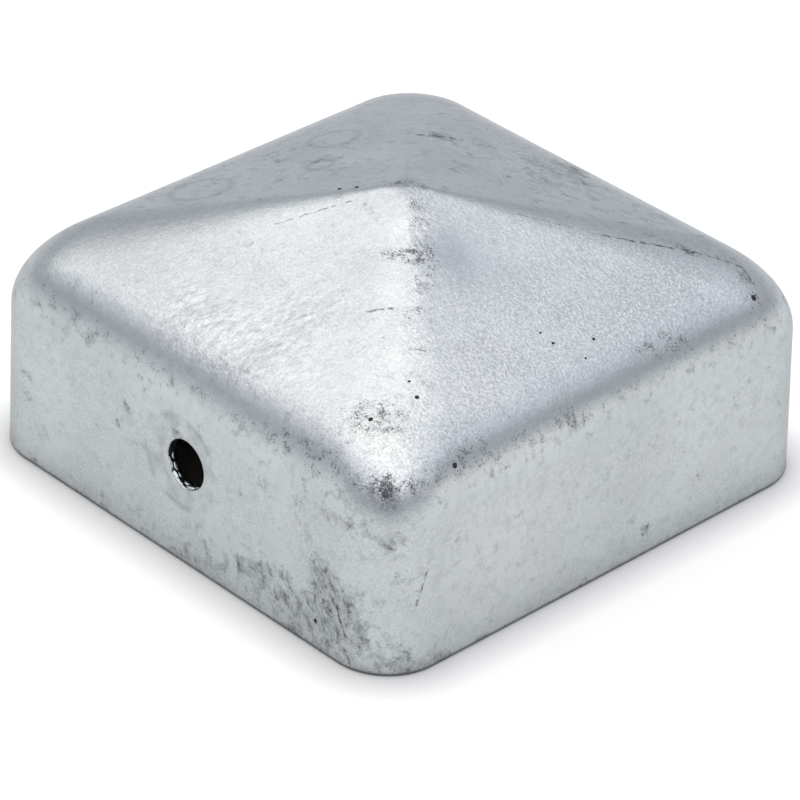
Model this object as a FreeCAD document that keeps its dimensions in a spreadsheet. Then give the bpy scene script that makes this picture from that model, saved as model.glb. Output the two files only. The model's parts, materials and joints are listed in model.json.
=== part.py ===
"""Pressed sheet-steel post cap with a low hipped crown, hot-dip galvanised, for a square post.

The cap is one pressing: a slightly flared skirt, a shoulder rolled over a large radius, and four slopes that rise
to a blunt apex. The ridges between the slopes are conical: broad where they leave the shoulder, narrow at the apex.
One fixing hole is punched through the middle of one wall.

Millimetres, +Z up. The origin is the centre of the square that the rim stands on. The holed wall faces -Y.
"""

import FreeCAD
import Part
import Sketcher
import math
import os

NODE = "post_cap"

# Driving sizes: name, value, what it is. Angles are in degrees.
SIZES = (
    ("post_width", 75.0, "side of the square post that the cap slips over"),
    ("post_clearance", 1.0, "gap between post and wall, on each side, at the rim"),
    ("sheet", 1.5, "thickness of the pressed sheet with its zinc"),
    ("skirt_height", 22.0, "rim to where the shoulder starts to roll in"),
    ("flare", 1.25, "lean of each wall outwards towards the rim"),
    ("corner_radius", 8.6, "outside radius of the upright corners"),
    ("shoulder_radius", 10.6, "outside radius of the roll from wall to slope"),
    ("crown_slope", 16.8, "rise of each slope above level"),
    ("ridge_radius", 9.5, "outside radius of a ridge in plan, at the foot of the slope"),
    ("apex_radius", 10.0, "outside radius of the blunt apex"),
    ("hole_diameter", 7.0, "fixing hole"),
    ("hole_height", 15.2, "rim to the middle of the fixing hole"),
    ("hole_offset", 1.6, "fixing hole's distance from the middle of its wall, towards +X"),
    ("rim_bevel", 0.4, "bevel of the sheared rim, outside and inside"),
)

SHOULDER_STEPS = 5  # steps from section to section round the shoulder's roll
TIP_SHARE = 0.01  # width of the ridges' last section as a share of the crown's foot
TRIM = 0.05  # how far the corners' sections stand outside the flats before the flats are cut
OVERCUT = 1.0  # how far the hollow, the trimming and the punch reach past the sheet

# How a sketch numbers the ends and the centre of a line or an arc, its own axes and its origin.
START, END, CENTRE = range(1, 4)
LEVEL_AXIS, UPRIGHT_AXIS = range(-1, -3, -1)
ORIGIN = (LEVEL_AXIS, START)

# Sizes that follow from the driving ones, as expressions.
RIM_HALF = "(Sizes.post_width / 2 + Sizes.post_clearance + Sizes.sheet)"
ROLL_HALF = f"({RIM_HALF} - Sizes.skirt_height * tan(Sizes.flare) - Sizes.shoulder_radius * cos(Sizes.flare))"
ROLL_HEIGHT = "(Sizes.skirt_height - Sizes.shoulder_radius * sin(Sizes.flare))"
FOOT_HALF = f"({ROLL_HALF} + Sizes.shoulder_radius * sin(Sizes.crown_slope))"
FOOT_HEIGHT = f"({ROLL_HEIGHT} + Sizes.shoulder_radius * cos(Sizes.crown_slope))"
SHARP_APEX_HEIGHT = f"({FOOT_HEIGHT} + {FOOT_HALF} * tan(Sizes.crown_slope))"
DOME_HEIGHT = f"({SHARP_APEX_HEIGHT} - Sizes.apex_radius / cos(Sizes.crown_slope))"


def size_sheet(doc):
    """The spreadsheet that holds the driving sizes."""
    sheet = doc.addObject("Spreadsheet::Sheet", "Sizes")
    for row, (name, value, meaning) in enumerate(SIZES, start=1):
        sheet.set(f"A{row}", name)
        sheet.set(f"B{row}", str(value))
        sheet.set(f"C{row}", meaning)
        sheet.setAlias(f"B{row}", name)
    doc.recompute()


def wall_section(height, inset, widen="0"):
    """A section of the flared wall, as expressions: half width, corner radius and height. widen moves it outwards."""
    half = f"{RIM_HALF} - {height} * tan(Sizes.flare) - {inset} / cos(Sizes.flare) + {widen}"
    return half, f"Sizes.corner_radius - {inset} + {widen}", height


def shoulder_section(share, inset):
    """A section of the rolled shoulder, from the wall at share 0 to the foot of the slope at share 1."""
    turn = f"(Sizes.flare + (90 - Sizes.crown_slope - Sizes.flare) * {share})"
    half = f"{ROLL_HALF} + (Sizes.shoulder_radius - {inset}) * cos({turn})"
    corner = f"Sizes.corner_radius + (Sizes.ridge_radius - Sizes.corner_radius) * {share}"
    height = f"{ROLL_HEIGHT} + (Sizes.shoulder_radius - {inset}) * sin({turn})"
    return half, f"{corner} - {inset} * cos({turn})", height


def tip_section(inset):
    """The ridges' last section, close under the point where the four slopes would meet."""
    half = f"{TIP_SHARE} * {FOOT_HALF}"
    height = f"{SHARP_APEX_HEIGHT} - {inset} / cos(Sizes.crown_slope) - {half} * tan(Sizes.crown_slope)"
    return half, f"{TIP_SHARE} * Sizes.ridge_radius", height


def stand_out(section):
    """The section with its sides moved out by the trim, and its corner arcs grown so that their middles stay."""
    half, corner, height = section
    return f"{half} + {TRIM}", f"{corner} + {TRIM} * (2 + sqrt(2))", height


def origin_part(body, role):
    """One of the body's own origin planes or axes."""
    return next(feature for feature in body.Origin.OriginFeatures if feature.Role == role)


def sketch_on(body, name, role):
    """An empty sketch on one of the body's origin planes."""
    sketch = body.newObject("Sketcher::SketchObject", name)
    sketch.AttachmentSupport = (origin_part(body, role), [""])
    sketch.MapMode = "FlatFace"
    return sketch


def bind(sketch, name, constraint, expression):
    """Adds a dimension to a sketch and ties it to an expression."""
    number = sketch.addConstraint(constraint)
    sketch.renameConstraint(number, name)
    sketch.setExpression(f"Constraints.{name}", expression)


def bind_point(sketch, name, point, half, height):
    """Ties a point of a sketch to expressions for its distance from the upright axis and its height."""
    start = sketch.getPoint(*point)
    bind(sketch, f"{name}_half", Sketcher.Constraint("DistanceX", *ORIGIN, *point, start.x), half)
    bind(sketch, f"{name}_height", Sketcher.Constraint("DistanceY", *ORIGIN, *point, start.y), height)


def rounded_square(body, name, section):
    """A sketch of one section: a square with round corners, centred on the Z axis."""
    half, corner, height = section
    sketch = sketch_on(body, name, "XY_Plane")
    sketch.setExpression("AttachmentOffset.Base.z", height)

    # Sides have even numbers and corner arcs odd ones, anticlockwise from the side that faces +X.
    up = FreeCAD.Vector(0, 0, 1)
    start_half, start_radius = 10.0, 2.0
    start_inner = start_half - start_radius
    for side in range(4):
        turn = FreeCAD.Rotation(up, 90 * side)
        low = turn.multVec(FreeCAD.Vector(start_half, -start_inner, 0))
        high = turn.multVec(FreeCAD.Vector(start_half, start_inner, 0))
        middle = turn.multVec(FreeCAD.Vector(start_inner, start_inner, 0))
        angles = (math.pi / 2 * side, math.pi / 2 * (side + 1))
        sketch.addGeometry(Part.LineSegment(low, high))
        sketch.addGeometry(Part.ArcOfCircle(Part.Circle(middle, up, start_radius), *angles))

    for side in (0, 2, 4, 6):
        sketch.addConstraint(Sketcher.Constraint("Tangent", side, END, side + 1, START))
        sketch.addConstraint(Sketcher.Constraint("Tangent", side + 1, END, (side + 2) % 8, START))
        sketch.addConstraint(Sketcher.Constraint("Vertical" if side % 4 == 0 else "Horizontal", side))
    for arc in (3, 5, 7):
        sketch.addConstraint(Sketcher.Constraint("Equal", 1, arc))
    sketch.addConstraint(Sketcher.Constraint("Equal", 0, 2))
    sketch.addConstraint(Sketcher.Constraint("Symmetric", 1, CENTRE, 5, CENTRE, *ORIGIN))
    bind(sketch, "corner", Sketcher.Constraint("Radius", 1, start_radius), corner)
    bind(sketch, "width", Sketcher.Constraint("DistanceX", 4, START, 0, START, 2 * start_half), f"2 * ({half})")
    return sketch


def loft(body, name, sketches):
    """A loft through a stack of sketches, straight between two and smooth through more."""
    feature = body.newObject("PartDesign::AdditiveLoft", name)
    feature.Profile = sketches[0]
    feature.Sections = sketches[1:]
    feature.Ruled = len(sketches) == 2
    body.Document.recompute()


def corners_and_ridges(body, inset, mouth):
    """A solid with the rounded corners and ridges of one skin. Its sides stand a little outside the skin's flats."""
    sections = {"mouth": mouth, "rim": wall_section("Sizes.rim_bevel", inset)}
    for step in range(SHOULDER_STEPS + 1):
        sections[f"shoulder_{step}"] = shoulder_section(step / SHOULDER_STEPS, inset)
    sections["tip"] = tip_section(inset)
    sketches = [
        rounded_square(body, f"{body.Name}_{name}", stand_out(section)) for name, section in sections.items()
    ]
    edge, rim, *roll, tip = sketches
    loft(body, f"{body.Name}_bevel", [edge, rim])
    loft(body, f"{body.Name}_skirt", [rim, roll[0]])
    loft(body, f"{body.Name}_shoulder", roll)
    loft(body, f"{body.Name}_ridges", [roll[-1], tip])


def side_profile(body, inset, bevel_end):
    """A sketch of all that lies outside one side: beyond its bevel, wall, rolled shoulder, slope and blunt apex."""
    sketch = sketch_on(body, f"{body.Name}_side_profile", "XZ_Plane")

    # Rough start positions, which the dimensions below correct.
    corners = ((0, 41), (0, 60), (60, 60), (60, -2), (36, -2), (38, 0.4), (37.5, 22))
    shoulder_middle, shoulder_turn = (28, 22), (1, 73)
    slope_ends = ((31, 31), (3, 40))
    apex_middle, apex_turn = (0, 30), (73, 90)
    start_radius = 10

    def point(place):
        return FreeCAD.Vector(*place, 0)

    def arc(middle, turn):
        circle = Part.Circle(point(middle), FreeCAD.Vector(0, 0, 1), start_radius)
        return sketch.addGeometry(Part.ArcOfCircle(circle, *(math.radians(angle) for angle in turn)))

    def line(start, end):
        return sketch.addGeometry(Part.LineSegment(point(start), point(end)))

    axis, top, far, bottom, bevel, wall = (line(*ends) for ends in zip(corners, corners[1:]))
    shoulder = arc(shoulder_middle, shoulder_turn)
    slope = line(*slope_ends)
    apex = arc(apex_middle, apex_turn)

    chain = (apex, axis, top, far, bottom, bevel, wall)
    for before, after in zip(chain, chain[1:]):
        sketch.addConstraint(Sketcher.Constraint("Coincident", before, END, after, START))
    rounded = (wall, shoulder, slope, apex)
    for before, after in zip(rounded, rounded[1:]):
        sketch.addConstraint(Sketcher.Constraint("Tangent", before, END, after, START))
    for level in (top, bottom):
        sketch.addConstraint(Sketcher.Constraint("Horizontal", level))
    sketch.addConstraint(Sketcher.Constraint("Vertical", far))
    for end in (START, END):
        sketch.addConstraint(Sketcher.Constraint("PointOnObject", axis, end, UPRIGHT_AXIS))

    wall_half, _, wall_height = wall_section("Sizes.rim_bevel", inset)
    bind_point(sketch, "far", (far, START), f"2 * {RIM_HALF}", f"2 * {SHARP_APEX_HEIGHT}")
    bind_point(sketch, "bevel", (bevel, START), bevel_end, f"-2 * {OVERCUT}")
    bind_point(sketch, "wall", (wall, START), wall_half, wall_height)
    bind_point(sketch, "shoulder", (shoulder, CENTRE), ROLL_HALF, ROLL_HEIGHT)
    bind_point(sketch, "apex", (apex, CENTRE), "0", DOME_HEIGHT)
    bind(sketch, "roll", Sketcher.Constraint("Radius", shoulder, start_radius), f"Sizes.shoulder_radius - {inset}")
    bind(sketch, "dome", Sketcher.Constraint("Radius", apex, start_radius), f"Sizes.apex_radius - {inset}")
    return sketch


def cut_flats(body, sketch):
    """Cuts one side's flat wall, shoulder and slope to its profile, and the other three sides to match."""
    side = body.newObject("PartDesign::Pocket", f"{body.Name}_flat")
    side.Profile = sketch
    side.Type = "ThroughAll"
    side.SideType = "Symmetric"
    body.Document.recompute()
    sides = body.newObject("PartDesign::PolarPattern", f"{body.Name}_flats")
    sides.Originals = [side]
    sides.Axis = (origin_part(body, "Z_Axis"), [""])
    sides.Angle = 360
    sides.Occurrences = 4
    body.Tip = sides
    body.Document.recompute()


def filled_skin(doc, name, inset, mouth, bevel_end):
    """A body that is everything inside one skin of the sheet. inset is the skin's depth under the outside."""
    body = doc.addObject("PartDesign::Body", name)
    corners_and_ridges(body, inset, mouth)
    cut_flats(body, side_profile(body, inset, bevel_end))
    return body


def punch_hole(body):
    """The fixing hole, punched from the middle of the cap out through the wall that faces -Y."""
    sketch = sketch_on(body, "punch", "XZ_Plane")
    start_radius, start_height = 2.0, 10.0
    circle = Part.Circle(FreeCAD.Vector(1.0, start_height, 0), FreeCAD.Vector(0, 0, 1), start_radius)
    sketch.addGeometry(circle)
    bind(sketch, "diameter", Sketcher.Constraint("Diameter", 0, 2 * start_radius), "Sizes.hole_diameter")
    bind_point(sketch, "hole", (0, CENTRE), "Sizes.hole_offset", "Sizes.hole_height")
    hole = body.newObject("PartDesign::Pocket", "fixing_hole")
    hole.Profile = sketch
    hole.Type = "Length"
    hole.setExpression("Length", f"{RIM_HALF} + {OVERCUT}")
    hole.Reversed = True
    body.Document.recompute()
    return hole


def post_cap(doc):
    """The whole pressing: the outside with the hollow cut out of it, and the fixing hole."""
    outside_mouth = wall_section("0", "0", "(-Sizes.rim_bevel)")
    hollow_mouth = wall_section(f"(-{OVERCUT})", "Sizes.sheet", f"(Sizes.rim_bevel + {OVERCUT})")
    outside_bevel_end = f"{RIM_HALF} - Sizes.rim_bevel - 2 * {OVERCUT}"
    hollow_bevel_end = f"{RIM_HALF} - Sizes.sheet + Sizes.rim_bevel + 2 * {OVERCUT}"
    hollow = filled_skin(doc, "hollow", "Sizes.sheet", hollow_mouth, hollow_bevel_end)
    body = filled_skin(doc, "outside", "0", outside_mouth, outside_bevel_end)
    body.Label = NODE

    pressing = body.newObject("PartDesign::Boolean", "pressing")
    pressing.Type = "Cut"
    pressing.setObjects([hollow])
    doc.recompute()
    holed = punch_hole(body)
    if holed.Shape.Volume >= pressing.Shape.Volume:
        raise RuntimeError("the fixing hole cut nothing")
    body.Tip = holed
    doc.recompute()
    return body


def check(doc, body):
    """Stops the build if any object failed, or the cap isn't one valid solid."""
    for thing in doc.Objects:
        if {"Invalid", "Error"} & set(thing.State):
            raise RuntimeError(f"{thing.Name} failed: {thing.State}")
    if body.Shape.isNull() or not body.Shape.isValid() or len(body.Shape.Solids) != 1:
        raise RuntimeError(f"{body.Label} isn't one valid solid")


def main():
    doc = FreeCAD.newDocument("post_cap")
    size_sheet(doc)
    body = post_cap(doc)
    check(doc, body)
    os.makedirs("parts", exist_ok=True)
    body.Shape.exportStep(f"parts/{body.Label}.step")
    box = body.Shape.optimalBoundingBox(False, False)
    print(f"{body.Label}: {box.XLength:.2f} x {box.YLength:.2f} x {box.ZLength:.2f} mm, {body.Shape.Volume:.0f} mm3")


main()
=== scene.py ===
"""Hot-dip galvanised look of a pressed post cap, on a plain white floor under soft studio light.

The cap is one dense mesh that stands for the plain pressing. Broad dents, small lumps, wrinkles, the hole's
turned-in edge and the rounded rim are in the mesh. Beads of zinc at the hole and lumps of dross are meshes of
their own. Grain, stains, specks, cracks and scratches are in the material, along with painted highlights and
painted shade; the floor has a painted shadow round the cap.
"""

import json
import math

import bpy
import numpy as np
from mathutils import Matrix, Vector, noise


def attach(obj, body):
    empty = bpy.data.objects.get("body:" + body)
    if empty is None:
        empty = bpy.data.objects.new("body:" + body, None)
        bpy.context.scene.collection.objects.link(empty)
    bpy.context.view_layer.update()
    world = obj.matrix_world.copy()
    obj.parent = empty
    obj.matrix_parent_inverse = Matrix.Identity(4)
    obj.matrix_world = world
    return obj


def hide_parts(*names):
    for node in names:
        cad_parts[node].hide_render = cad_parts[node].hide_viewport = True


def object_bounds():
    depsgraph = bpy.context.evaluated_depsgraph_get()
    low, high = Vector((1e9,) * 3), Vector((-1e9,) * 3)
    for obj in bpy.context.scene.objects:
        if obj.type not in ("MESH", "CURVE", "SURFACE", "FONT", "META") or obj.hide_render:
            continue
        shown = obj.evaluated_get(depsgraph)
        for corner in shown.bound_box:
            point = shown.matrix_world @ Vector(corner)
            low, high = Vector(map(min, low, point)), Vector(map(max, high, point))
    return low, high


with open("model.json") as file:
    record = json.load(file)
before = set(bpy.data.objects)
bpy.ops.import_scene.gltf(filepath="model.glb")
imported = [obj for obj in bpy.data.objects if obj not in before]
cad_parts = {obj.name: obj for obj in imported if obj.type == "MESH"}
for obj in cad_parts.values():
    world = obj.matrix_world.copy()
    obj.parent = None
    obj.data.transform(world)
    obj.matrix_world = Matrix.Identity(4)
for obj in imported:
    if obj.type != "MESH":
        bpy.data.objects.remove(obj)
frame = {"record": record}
cad_box = [list(corner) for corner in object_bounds()]

MM = 0.001
NODE = "post_cap"
MOUNTS = {mount["name"]: mount for mount in frame["record"]["mounts"]}

# Sizes of the pressing in millimetres, and angles in degrees.
SHEET = 1.5
SKIRT_HEIGHT = 22.0
FLARE = 1.25
CORNER_RADIUS = 8.6
SHOULDER_RADIUS = 10.6
CROWN_SLOPE = 16.8
RIDGE_RADIUS = 9.5
APEX_RADIUS = 10.0
RIM_ROUND = 0.5
OUTER_WIDTH = 80.0
HOLE_X, _, HOLE_HEIGHT = (place / MM for place in MOUNTS["fixing_hole"]["pos_m"])
HOLE_RADIUS = MOUNTS["fixing_hole"]["dims"]["r_mm"]

# The hole's edge in millimetres: the radii of its mouth and back, and the rings between them as widening and
# depth. The edge turns in over a small radius and runs straight through the sheet.
HOLE_MOUTH = HOLE_RADIUS + 0.3
HOLE_BACK = HOLE_RADIUS + 0.1
HOLE_BARREL = ((0.1, 0.05), (0.0, 0.2), (0.0, 0.6), (0.0, 1.0), (0.02, 1.35))

# The zinc's relief stays this far inside the pressing's nominal faces, in millimetres.
ZINC_ALLOWANCE = 0.12
RIM_HALF = cad_box[1][0] / MM - ZINC_ALLOWANCE

# How finely the two skins are divided. The inside has half as many divisions as the outside. The rings round
# the hole crowd together towards it: a crowding of 1 would space them evenly.
OUTSIDE_COLUMNS = 176
OUTSIDE_ROWS = 44
HOLE_BLOCK_COLUMNS = 28
HOLE_BLOCK_ROWS = 24
HOLE_BLOCK_RINGS = 9
HOLE_CROWDING = 1.35

# How many samples of the profile are worked out on the apex, the shoulder and the skirt before it is divided.
DOME_SAMPLES = 20
SHOULDER_SAMPLES = 60
SKIRT_SAMPLES = 20

# Stands in for a length of nought that something is divided by.
TINY = 1e-9

# Relief of the zinc: how deep, and over what distance, in millimetres. The lumps are shifted so as not to
# follow the dents, the wrinkles are drawn out along the slope's fall, and all of it fades out near the rim.
BROAD_DENTS = (0.035, 19.0)
LUMPS = (0.014, 5.0)
LUMPS_SHIFT = Vector((7, 3, 5))
WRINKLES = (0.045, 1.7)
WRINKLE_STRETCH = 0.4
RELIEF_FADE = 3.0

# Noise in the zinc and in what lies on it: the distance between its lumps in millimetres, its detail and,
# where that isn't the usual one, its roughness.
STROKE_NOISE = (0.32, 4.0)
FOLD_NOISE = (1.0, 2.0)
LUMP_NOISE = (1.3, 2.0)
CLOUD_NOISE = (9.0, 4.0)
CREASE_NOISE = (4.2, 3.0)
DIRT_NOISE = (2.6, 8.0, 0.75)
SMEAR_NOISE = (1.1, 6.0, 0.78)
PATCH_NOISE = (1.3, 2.0)
SPECK_NOISE = (0.28, 1.0)
POWDER_NOISE = (0.3, 3.0, 0.85)
TIDE_NOISE = (8.0, 1.0)
HALO_NOISE = (4.0, 2.0)
HALO_GAPS = (3.0, 3.0)
HAIRLINE_GAPS = (0.9, 2.0)
BROWN_NOISE = (0.2, 2.0)

# How things waver: over what distance in millimetres, in what detail, and how far in millimetres.
SMEAR_WAVER = (2.8, 1.0, 2.6)
HAIRLINE_WAVER = (1.2, 2.0, 0.6)

# How much the strokes of the grain and the folds are drawn out along the fall of a face.
STROKE_STRETCH = 0.75
FOLD_STRETCH = 0.65

# How much the smears in a stain are drawn out downwards, and how far they lean towards +X on their way down.
SMEAR_STRETCH = 0.4
SMEAR_LEAN = 0.45

# How the long creases run over the slope to -Y: the direction in x and y, and how far they are drawn out.
CREASE_RUN = (0.57, 0.82)
CREASE_STRETCH = 0.14

# How strong the grain is on the slopes to -Y, +X, +Y and -X, on the walls, and on the shoulder between them.
# One slope's grain goes over into the next within RIDGE_BLEND degrees on each side of the ridge.
SLOPE_GRAIN = (0.55, 0.95, 0.3, 0.3)
RIDGE_BLEND = 6.0
WALL_GRAIN = 0.42
SHOULDER_GRAIN = 0.15

# Heights in millimetres between which the grain changes: walls to shoulder, and shoulder to slopes.
GRAIN_HEIGHTS = (20.0, 24.0, 28.0, 30.6)

# Where the grain is stronger or weaker, in millimetres: x, y, z, radius and amount.
GRAIN_CHANGES = (
    (12.0, -1.0, 38.0, 9.0, -0.38),
    (13.5, -3.5, 37.5, 4.0, -0.3),
    (39.7, -20.0, 12.0, 14.0, -0.13),
    (33.0, -33.0, 29.5, 7.0, 0.75),
)

# Marks on the zinc, in millimetres on the cap: x, y, z, radius and amount.
STAINS = (
    (35.2, -36.2, 26.7, 1.2, 1.2), (36.0, -35.8, 26.2, 1.1, 0.6), (36.5, -33.1, 27.7, 1.5, 0.2),
    (37.5, -29.7, 27.9, 1.5, 0.2), (24.2, -39.9, 5.9, 3.5, 1.0), (18.4, -39.9, 6.0, 3.5, 0.95),
    (28.0, -39.9, 4.9, 3.0, 1.1), (27.7, -39.7, 11.6, 2.5, 0.6), (32.6, -39.8, 4.2, 3.5, 0.8),
    (34.5, -39.1, 11.0, 2.5, 0.7), (33.3, -39.6, 6.8, 3.0, 0.9), (29.6, -39.8, 10.3, 3.5, 0.8),
    (14.6, -39.9, 5.6, 3.0, 0.6), (36.5, -38.2, 3.2, 3.0, 0.7), (39.3, -34.7, 1.8, 2.5, 0.8),
    (40.0, -30.1, 1.3, 2.0, 0.5), (22.0, -39.9, 2.0, 4.0, 0.5), (30.9, -39.5, 21.5, 3.5, 0.65),
    (36.0, -38.2, 19.8, 3.0, 0.65), (23.5, -39.5, 20.7, 3.0, 0.6), (16.3, -39.6, 20.2, 3.0, 0.5),
    (-11.5, -39.7, 15.8, 2.0, 0.6), (38.0, -35.9, 20.0, 2.5, 0.4), (38.6, -34.5, 14.0, 3.0, 0.45),
    (26.4, -39.7, 15.0, 3.0, 0.65), (38.8, -32.6, 24.7, 2.0, 0.4), (10.7, -39.9, 4.6, 4.0, 0.6),
    (4.0, -39.9, 3.0, 4.0, 0.5), (-3.0, -39.9, 2.5, 4.0, 0.45), (-12.0, -39.9, 2.0, 4.0, 0.4),
    (-31.2, -39.7, 13.9, 1.6, 0.8), (-30.2, -39.8, 10.7, 1.5, 0.7), (-27.7, -38.0, 27.3, 3.0, 0.5),
    (-18.2, -38.7, 25.8, 2.0, 0.6), (-22.2, -38.2, 26.8, 3.0, 0.5), (-10.1, -39.6, 18.3, 0.8, 0.8),
    (-28.1, -39.9, 6.2, 2.0, 0.4), (23.0, -37.6, 27.9, 2.5, 0.25), (27.8, -37.7, 27.8, 2.2, 0.2),
    (18.5, -37.7, 27.7, 2.5, 0.3), (14.3, -38.2, 26.9, 2.0, 0.5), (39.8, 16.8, 8.3, 1.0, 1.3),
    (39.9, 4.5, 6.6, 1.0, 1.0), (39.9, 7.1, 3.9, 1.2, 1.0), (39.9, 25.0, 6.0, 3.0, 0.3),
    (39.8, -2.0, 12.0, 3.0, 0.2), (39.8, 24.0, 17.0, 2.5, 0.3), (39.9, -22.0, 6.0, 2.5, 0.25),
    (39.3, -11.2, 23.9, 2.0, 0.35), (38.6, -6.1, 26.0, 2.0, 0.5), (39.6, 14.8, 17.7, 2.0, 0.3),
    (9.3, -9.3, 38.5, 1.6, 0.5), (36.3, 10.7, 29.4, 2.0, 0.5), (-1.0, 32.3, 31.8, 2.5, 0.9),
    (-14.0, 19.9, 35.4, 1.8, 1.1), (21.2, 13.2, 35.2, 2.2, 0.4), (0.0, 26.0, 34.0, 14.0, 0.6),
    (-26.0, 0.0, 34.0, 14.0, 0.45), (-0.3, -39.4, 19.3, 1.6, 1.3), (20.0, 32.0, 32.0, 9.0, 0.25),
    (-32.0, -18.0, 32.0, 9.0, 0.25),
)
DROSS = (
    (27.4, -31.1, 31.8, 3.2, 0.36), (27.0, -33.4, 31.1, 3.0, 0.34), (28.2, -28.6, 32.1, 3.0, 0.3),
    (23.4, -31.2, 32.1, 2.0, 0.3), (24.5, -35.6, 30.0, 2.0, 0.3), (28.0, -24.5, 32.9, 3.0, 0.25),
    (3.7, -1.2, 40.5, 1.8, 0.65), (6.7, -3.3, 39.6, 2.0, 0.6), (10.2, -6.2, 38.5, 2.0, 0.6),
    (12.1, -7.3, 37.9, 2.2, 0.6), (14.8, -10.9, 37.1, 2.2, 0.6), (17.5, -14.8, 36.1, 2.2, 0.5),
    (20.0, -17.4, 35.3, 2.2, 0.4), (31.0, -31.0, 31.0, 3.2, 0.38), (9.3, -9.3, 38.5, 1.6, 0.62),
    (10.5, -8.6, 38.3, 1.4, 0.6), (7.8, -10.4, 38.4, 1.4, 0.5), (36.3, 10.7, 29.4, 1.8, 0.55),
    (36.5, 13.3, 29.2, 1.8, 0.6), (36.1, 8.1, 29.6, 1.5, 0.45), (36.7, 15.9, 29.0, 1.6, 0.45),
    (37.3, -14.8, 28.2, 2.5, 0.3), (37.0, -21.5, 28.7, 2.2, 0.45), (37.1, -25.1, 28.5, 2.2, 0.5),
    (37.6, -8.0, 27.8, 2.0, 0.25), (34.5, -35.9, 27.7, 1.2, 1.0), (35.2, -36.1, 27.0, 1.3, 0.9),
    (36.7, -34.5, 26.7, 1.2, 0.2), (37.0, -32.5, 27.6, 1.4, 0.35), (36.5, -33.1, 27.7, 1.4, 0.25),
    (37.5, -29.7, 27.9, 1.6, 0.45), (-1.2, 0.1, 41.1, 1.6, 0.55), (-3.0, -0.9, 40.7, 1.6, 0.5),
    (1.0, 1.7, 41.0, 1.6, 0.5), (2.9, 3.6, 40.5, 1.6, 0.4), (-5.6, -3.5, 39.9, 1.4, 0.45),
    (13.5, 11.8, 37.3, 1.4, 0.45), (22.3, 21.9, 34.2, 1.5, 0.5), (26.6, 27.2, 32.7, 1.5, 0.9),
    (29.5, 30.0, 31.7, 1.5, 0.7), (33.5, 30.8, 30.6, 1.6, 0.9), (36.3, 29.2, 29.2, 1.5, 0.7),
    (21.2, 13.2, 35.2, 1.8, 0.4), (-13.5, 20.0, 35.4, 1.6, 0.8), (-1.0, 32.3, 31.8, 1.8, 0.8),
    (14.1, 20.7, 35.3, 1.2, 0.55), (17.6, 22.9, 34.5, 1.3, 0.6), (21.2, 25.0, 33.8, 1.3, 0.6),
    (24.2, 26.4, 33.2, 1.3, 0.55), (23.0, -37.6, 27.9, 2.0, 0.42), (27.8, -37.7, 27.8, 2.0, 0.42),
    (31.5, -37.2, 27.6, 1.8, 0.2), (18.5, -37.7, 27.7, 2.0, 0.45), (-18.2, -38.7, 25.8, 1.5, 0.2),
    (39.2, -12.0, 23.9, 2.0, 0.35), (39.0, -4.0, 24.6, 1.6, 0.3), (38.8, -19.0, 25.2, 1.6, 0.25),
)

# Soft level bands of stain and dross round the whole cap: height and width in millimetres, and amount.
STAIN_BANDS = ((0.0, 1.5, 0.5), (24.8, 1.8, 0.32))
DROSS_BANDS = ((26.3, 1.5, 0.38),)

# No place has more stain or dross than this.
MOST_STAIN = 1.3
MOST_DROSS = 1.5

# Bands of painted highlight and painted shade along the shoulders to -Y and +X, and the distance over which
# they end at the corners.
FRONT_PAINTED_LIGHT_BANDS = ((29.2, 0.9, 0.22),)
RIGHT_PAINTED_LIGHT_BANDS = ((28.1, 1.3, -0.22), (26.1, 1.1, 0.36))
SIDE_BLEND = 5.0

# Painted highlights and painted shade, with some lighter and darker patches of the zinc's own, and wrinkled
# places, in millimetres: x, y, z, radius and amount.
PAINTED_LIGHT_AND_TONE = (
    (33.4, -33.3, 29.6, 3.0, 0.9), (30.5, -30.5, 31.4, 2.5, -0.35), (36.4, -36.5, 24.6, 2.0, -0.6),
    (36.7, -36.9, 23.4, 1.6, -0.35), (35.2, -36.0, 26.9, 1.9, -1.0), (34.0, -38.2, 24.8, 2.0, -0.35),
    (38.2, -33.6, 24.8, 2.0, -0.35), (22.0, -22.0, 35.0, 5.0, 0.25), (14.0, -14.0, 37.4, 4.0, 0.25),
    (6.0, -6.5, 39.7, 3.0, 0.35), (13.0, -3.9, 37.6, 3.0, -0.85), (16.9, -5.7, 36.5, 2.5, -0.45),
    (9.7, -2.0, 38.6, 2.2, -0.5), (18.6, 0.4, 35.9, 4.0, -0.25), (32.0, -18.0, 31.5, 5.0, 0.15),
    (17.0, 6.0, 36.2, 3.0, 0.2), (22.0, 0.0, 35.0, 16.0, -0.12), (31.0, 18.0, 32.0, 9.0, -0.12),
    (23.3, 13.3, 34.5, 4.0, 0.2), (26.0, -8.0, 33.5, 5.0, 0.15), (7.0, -14.5, 37.2, 3.0, -0.3),
    (-25.0, -30.0, 32.0, 8.0, -0.5), (-15.0, -31.0, 32.3, 6.0, -0.3), (-18.0, -22.0, 34.5, 6.0, -0.3),
    (30.0, 15.0, 32.5, 8.0, -0.15), (39.7, -18.0, 12.0, 14.0, 0.26), (39.8, 14.0, 10.0, 14.0, 0.15),
)
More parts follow.
